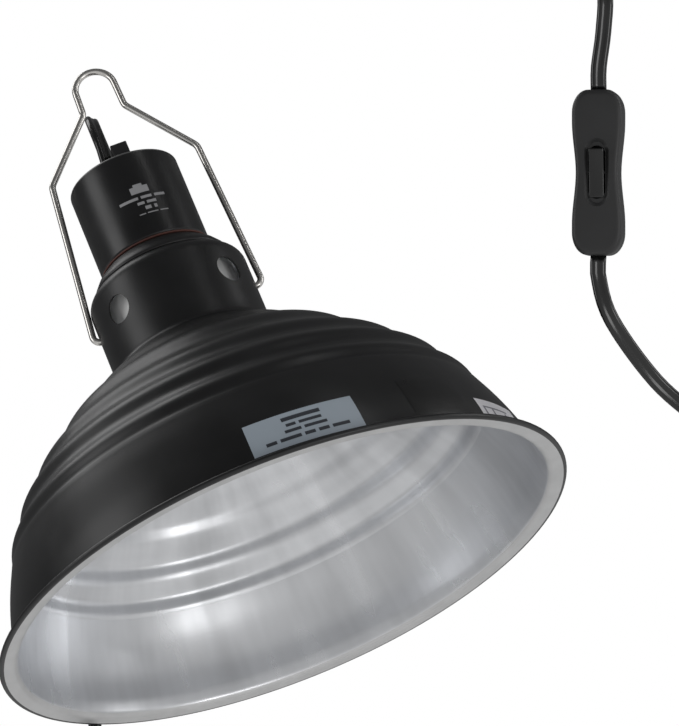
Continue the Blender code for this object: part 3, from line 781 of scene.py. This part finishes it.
# --- switch --------------------------------------------------------------------------------------
SWITCH_TWIST = math.radians(-11)
SWITCH_AXES = (VIEW_TURN @ Matrix.Rotation(SWITCH_TWIST, 3, "Z")).to_4x4()
SWITCH_PLACE = Matrix.Translation(SWITCH_MIDDLE) @ SWITCH_AXES
SWITCH_LENGTH = 65.9
SWITCH_END = 20.3
SWITCH_WAIST = 17.2
CORNER_WIDE, CORNER_TALL = 6.4, 9.0
SWITCH_FACE = -7.5
SLOT = (6.9, 21.2)
DISH = (11.6, 29.6)
ROCKER_TILT = math.radians(8)
ROCKER_SIZE = (5.9, 4.8, 19.6)
ROCKER_HOLLOW = 0.55


def switch_outline():
    """Half a turn of the waisted outline as (x, z), from the top middle down the right side."""
    half = SWITCH_LENGTH / 2
    corner = []
    for i in range(11):
        angle = math.radians(90 - 9 * i)
        corner.append((SWITCH_END / 2 - CORNER_WIDE * (1 - math.cos(angle)),
                       half - CORNER_TALL * (1 - math.sin(angle))))
    side = []
    for i in range(1, 20):
        z = (half - CORNER_TALL) * (1 - i / 10)
        blend = min(1.0, abs(z) / (half * 0.62))
        width = SWITCH_WAIST + (SWITCH_END - SWITCH_WAIST) * blend * blend * (3 - 2 * blend)
        side.append((width / 2, z))
    right = corner + side + [(x, -z) for x, z in reversed(corner)]
    return right + [(-x, z) for x, z in reversed(right)]


def switch_half(name, levels, node_name):
    """A half shell: its outline drawn out in steps of (depth, inset) from the seam to the face."""
    bm = bmesh.new()
    edges = []
    for depth, inset in levels:
        shrink_x, shrink_z = 1 - 2 * inset / SWITCH_END, 1 - 2 * inset / SWITCH_LENGTH
        ring = [bm.verts.new((mm(x) * shrink_x, mm(depth), mm(z) * shrink_z)) for x, z in switch_outline()]
        loop = [bm.edges.new(pair) for pair in zip(ring, ring[1:] + ring[:1])]
        if edges:
            bmesh.ops.bridge_loops(bm, edges=edges + loop)
        else:
            bmesh.ops.contextual_create(bm, geom=loop)
        edges = loop
    bmesh.ops.contextual_create(bm, geom=edges)
    bmesh.ops.recalc_face_normals(bm, faces=bm.faces)
    bmesh.ops.transform(bm, matrix=SWITCH_PLACE, verts=bm.verts)
    shell = finish_piece(name, bm, "lamp", ("switch",))
    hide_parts(node_name)
    return shell


def stadium_cutter(size, face_y, floor_y, shrink):
    """A round-ended pocket whose walls lean in from the face to its floor."""
    bm = bmesh.new()
    radius = size[0] / 2
    made = bmesh.ops.create_circle(bm, cap_ends=True, segments=48, radius=mm(radius))["verts"]
    bmesh.ops.rotate(bm, verts=made, matrix=Matrix.Rotation(math.pi / 2, 3, "X"))
    for vert in made:
        vert.co.z += math.copysign(mm(size[1] / 2 - radius), vert.co.z)
        vert.co.y = mm(face_y)
    grown = bmesh.ops.extrude_face_region(bm, geom=bm.faces[:])["geom"]
    for vert in (part for part in grown if isinstance(part, bmesh.types.BMVert)):
        vert.co = (vert.co.x * shrink[0], mm(floor_y), vert.co.z * shrink[1])
    bmesh.ops.recalc_face_normals(bm, faces=bm.faces)
    bmesh.ops.transform(bm, matrix=SWITCH_PLACE, verts=bm.verts)
    return bm


def rocker():
    """The rocking key: a rounded bar with a shallow thumb hollow, tipped towards the cord's end."""
    bm = bmesh.new()
    bmesh.ops.create_cube(bm, size=1.0)
    bmesh.ops.scale(bm, vec=[mm(side) for side in ROCKER_SIZE], verts=bm.verts)
    along = [edge for edge in bm.edges if abs(edge.verts[0].co.z - edge.verts[1].co.z) > mm(5)]
    bmesh.ops.subdivide_edges(bm, edges=along, cuts=11, use_grid_fill=True)
    for vert in bm.verts:
        if vert.co.y < 0:
            vert.co.y += mm(ROCKER_HOLLOW) * math.cos(math.pi * vert.co.z / mm(ROCKER_SIZE[2]))
    sharp = [edge for edge in bm.edges if edge.calc_face_angle(0) > math.radians(50)]
    bmesh.ops.bevel(bm, geom=sharp, offset=mm(0.45), segments=3, affect="EDGES", profile=0.5, material=-1)
    bmesh.ops.translate(bm, vec=(0, mm(-1.0), 0), verts=bm.verts)
    place = Matrix.Translation(SWITCH_HINGE) @ SWITCH_AXES @ Matrix.Rotation(ROCKER_TILT, 4, "X")
    bmesh.ops.transform(bm, matrix=place, verts=bm.verts)
    key = finish_piece("rocker_key", bm, "rocker", ("rocker",))
    mark_smooth_by_angle(key, 40)
    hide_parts("rocker")


def switch():
    front = switch_half("switch_front", [(-0.12, 0.25), (-0.4, 0.0), (-5.1, 0.0), (-6.2, 0.25), (-6.95, 0.8),
                                         (-7.35, 1.5), (SWITCH_FACE, 2.4)], "switch_front_shell")
    take_out(front, stadium_cutter(DISH, -8.3, -6.5, (0.62, 0.82)))
    take_out(front, stadium_cutter(SLOT, -9.0, -1.0, (1.0, 1.0)))
    mark_smooth_by_angle(front, 32)
    back = switch_half("switch_back", [(0.12, 0.25), (0.4, 0.0), (4.6, 0.0), (6.0, 0.4), (7.0, 1.3),
                                       (7.5, 2.8)], "switch_back_shell")
    mark_smooth_by_angle(back, 32)
    rocker()


def mark_smooth_by_angle(piece, degrees):
    data = piece.data
    data.shade_smooth()
    bm = bmesh.new()
    bm.from_mesh(data)
    limit = math.radians(degrees)
    for edge in bm.edges:
        edge.smooth = len(edge.link_faces) == 2 and edge.calc_face_angle(0.0) < limit
    bm.to_mesh(data)
    bm.free()


# --- labels --------------------------------------------------------------------------------------

def skirt_radius(above_rim):
    """The painted wall's radius at a height on the skirt."""
    wall = dome_wall()
    for (r0, z0), (r1, z1) in zip(wall, wall[1:]):
        if z1 <= above_rim <= z0:
            return r0 + (r1 - r0) * (z0 - above_rim) / (z0 - z1)
    return wall[-1][0]


def patch(bm, radius_at, angles, heights, lift, finish, rows=8):
    """A thin curved sheet that hugs a turned wall; angles in degrees from the front, heights in mm."""
    columns = max(2, round(abs(angles[1] - angles[0])))
    verts = bmesh.ops.create_grid(bm, x_segments=columns, y_segments=rows, size=0.5)["verts"]
    for vert in verts:
        angle = math.radians(angles[0] + (angles[1] - angles[0]) * (vert.co.x + 0.5))
        height = heights[0] + (heights[1] - heights[0]) * (vert.co.y + 0.5)
        radius = radius_at(height) + lift
        vert.co = lamp_point(radius * math.sin(angle), -radius * math.cos(angle), height)
    for face in {face for vert in verts for face in vert.link_faces}:
        face.material_index = finish


def printed_line(left, right, low, high, words, finish=1):
    """One row of plain bars of different lengths, which stand for words, as shares of a label."""
    unit = (right - left) / (sum(words) + len(words) - 1)
    marks = []
    for word in words:
        marks.append((left, left + word * unit, low, high, finish))
        left += (word + 1) * unit
    return marks


def sticker(name, angles, heights, finishes, marks, radius_at, lift=0.12, base=True):
    """A label: a base sheet, and marks as (left, right, low, high) shares of it with a finish index."""
    bm = bmesh.new()
    if base:
        patch(bm, radius_at, angles, heights, lift, 0)
    for left, right, low, high, finish in marks:
        across = [angles[0] + (angles[1] - angles[0]) * share for share in (left, right)]
        up = [heights[0] + (heights[1] - heights[0]) * share for share in (low, high)]
        patch(bm, radius_at, across, up, lift + 0.06, finish, rows=2)
    finish_piece(name, bm, "lamp", finishes)


def skirt_labels():
    bars = printed_line(0.33, 0.68, 0.74, 0.86, (8,))
    bars += printed_line(0.35, 0.67, 0.56, 0.65, (3, 7))
    bars += printed_line(0.32, 0.70, 0.38, 0.47, (5, 7))
    bars += printed_line(0.13, 0.88, 0.17, 0.27, (3, 6, 3, 3, 5))
    sticker("notice_label", (-2.3, 20.6), (6.0, 21.6), ("sticker", "ink"), bars, skirt_radius)
    fine_line = printed_line(0.12, 0.88, 0.06, 0.10, (4, 6, 3, 3, 5))
    sticker("plain_black_label", (32.5, 47.0), (4.5, 26.0), ("clear_sticker", "white_print"),
            fine_line, skirt_radius)
    lines = [(0.1, 0.14, 0.25, 0.72, 1), (0.14, 0.72, 0.66, 0.72, 1), (0.3, 0.34, 0.2, 0.66, 1),
             (0.46, 0.86, 0.34, 0.40, 1), (0.62, 0.66, 0.12, 0.60, 1)]
    sticker("small_white_label", (51.6, 66.8), (4.0, 17.2), ("white_sticker", "grey_ink"), lines,
            skirt_radius)


def housing_print():
    marks = [(0.34, 0.70, 0.68, 0.88, 0), (0.42, 0.60, 0.88, 0.95, 0)]
    marks += printed_line(0.05, 0.98, 0.50, 0.58, (7, 4, 4), finish=0)
    marks += printed_line(0.38, 0.76, 0.34, 0.42, (3, 4), finish=0)
    marks += printed_line(0.50, 0.74, 0.17, 0.27, (2, 1), finish=0)
    marks += printed_line(0.34, 0.93, 0.05, 0.08, (3, 5, 4), finish=0)
    sticker("housing_marks", (-21.0, 31.0), (170.8, 187.8), ("white_print",), marks,
            lambda above_rim: HOUSING_SIDE, lift=0.0, base=False)


# --- CAD nodes that keep their shape -------------------------------------------------------------

def dress_cad_nodes():
    finishes = {
        "porcelain_socket": "porcelain", "screw_shell": "brass", "centre_contact": "brass",
        "socket_bracket": "steel", "bracket_screw_left": "steel", "bracket_screw_right": "steel",
        "terminal_screw_left": "steel", "terminal_screw_right": "brass", "lead_left": "lead",
        "lead_right": "lead", "cord_clamp_block": "block", "cord_clamp_base": "block",
        "clamp_screw": "steel", "rocker_pin": "block", "contact_bar": "brass",
        "switch_terminal_in": "brass", "switch_terminal_out": "brass", "switch_screw_in": "steel",
        "switch_screw_out": "steel", "plug_body": "block",
        "plug_blade_live": "brass", "plug_blade_neutral": "brass",
    }
    for name, finish in finishes.items():
        piece = frame["nodes"][name]
        piece.data.materials.clear()
        piece.data.materials.append(FINISH[finish])


# --- stage ---------------------------------------------------------------------------------------
FLOOR_Z = -1.35
FLOOR_SIZE = 6.0
LIGHT_AIM = RIM_CENTRE + Vector((0, 0, 0.12))
LOW_WORLD, HIGH_WORLD = 0.62, 0.13      # the surroundings' strength below and above the horizon


def area_light(name, offset, aim, size, power):
    data = bpy.data.lights.new(name, "AREA")
    data.shape = "RECTANGLE"
    data.size, data.size_y = size
    data.energy = power
    light = bpy.data.objects.new(name, data)
    bpy.context.scene.collection.objects.link(light)
    light.location = LIGHT_AIM + Vector(offset)
    light.rotation_mode = "QUATERNION"
    light.rotation_quaternion = (aim - light.location).to_track_quat("-Z", "Y")


def pale_floor():
    data = bpy.data.meshes.new("floor")
    bm = bmesh.new()
    bmesh.ops.create_grid(bm, x_segments=1, y_segments=1, size=FLOOR_SIZE)
    bmesh.ops.translate(bm, vec=(0, 0, FLOOR_Z), verts=bm.verts)
    bm.to_mesh(data)
    bm.free()
    floor = bpy.data.objects.new("floor", data)
    bpy.context.scene.collection.objects.link(floor)
    made, tree, shader = new_material("pale_floor")
    shader.inputs["Base Color"].default_value = (0.8, 0.8, 0.8, 1)
    shader.inputs["Roughness"].default_value = 0.9
    shader.inputs["Emission Color"].default_value = (1, 1, 1, 1)
    shader.inputs["Emission Strength"].default_value = 0.42
    data.materials.append(made)


def studio_world():
    """White to the camera; to the lamp, brighter from below than from above."""
    world = bpy.data.worlds.new("studio")
    bpy.context.scene.world = world
    world.use_nodes = True
    tree = world.node_tree
    back = tree.nodes["Background"]
    back.inputs["Color"].default_value = (1, 1, 1, 1)
    place = tree.nodes.new("ShaderNodeTexCoord")
    split = tree.nodes.new("ShaderNodeSeparateXYZ")
    link(tree, place.outputs["Generated"], split.inputs["Vector"])
    dim = node(tree, "ShaderNodeBackground")
    dim.inputs["Color"].default_value = (0.98, 0.99, 1.0, 1)
    link(tree, map_range(tree, split.outputs["Z"], -0.25, 0.2, LOW_WORLD, HIGH_WORLD), dim.inputs["Strength"])
    mix = node(tree, "ShaderNodeMixShader")
    ray = node(tree, "ShaderNodeLightPath")
    link(tree, ray.outputs["Is Camera Ray"], mix.inputs[0])
    link(tree, dim.outputs["Background"], mix.inputs[1])
    link(tree, back.outputs["Background"], mix.inputs[2])
    link(tree, mix.outputs["Shader"], tree.nodes["World Output"].inputs["Surface"])


def studio_lights():
    area_light("left_softbox", (-1.27, -0.52, 0.55), LIGHT_AIM, (0.7, 1.1), 5.0)
    area_light("right_strip", (1.08, -1.0, 0.65), LIGHT_AIM, (0.10, 1.3), 1.6)
    area_light("low_softbox", (0.9, -1.1, -0.9), LIGHT_AIM, (0.5, 0.5), 2.5)
    area_light("switch_rim", (1.35, -0.1, 0.1), SWITCH_MIDDLE, (0.25, 0.9), 2.4)
    area_light("top_softbox", (-0.5, 0.3, 1.4), LIGHT_AIM, (0.9, 0.9), 5.0)


make_camera()
switch()
lamp_cord()
plug_cord()
reflector()
socket_housing()
gasket()
collar()
bail()
skirt_labels()
housing_print()
dress_cad_nodes()
pale_floor()
studio_world()
studio_lights()
bpy.context.scene.view_settings.view_transform = "Standard"
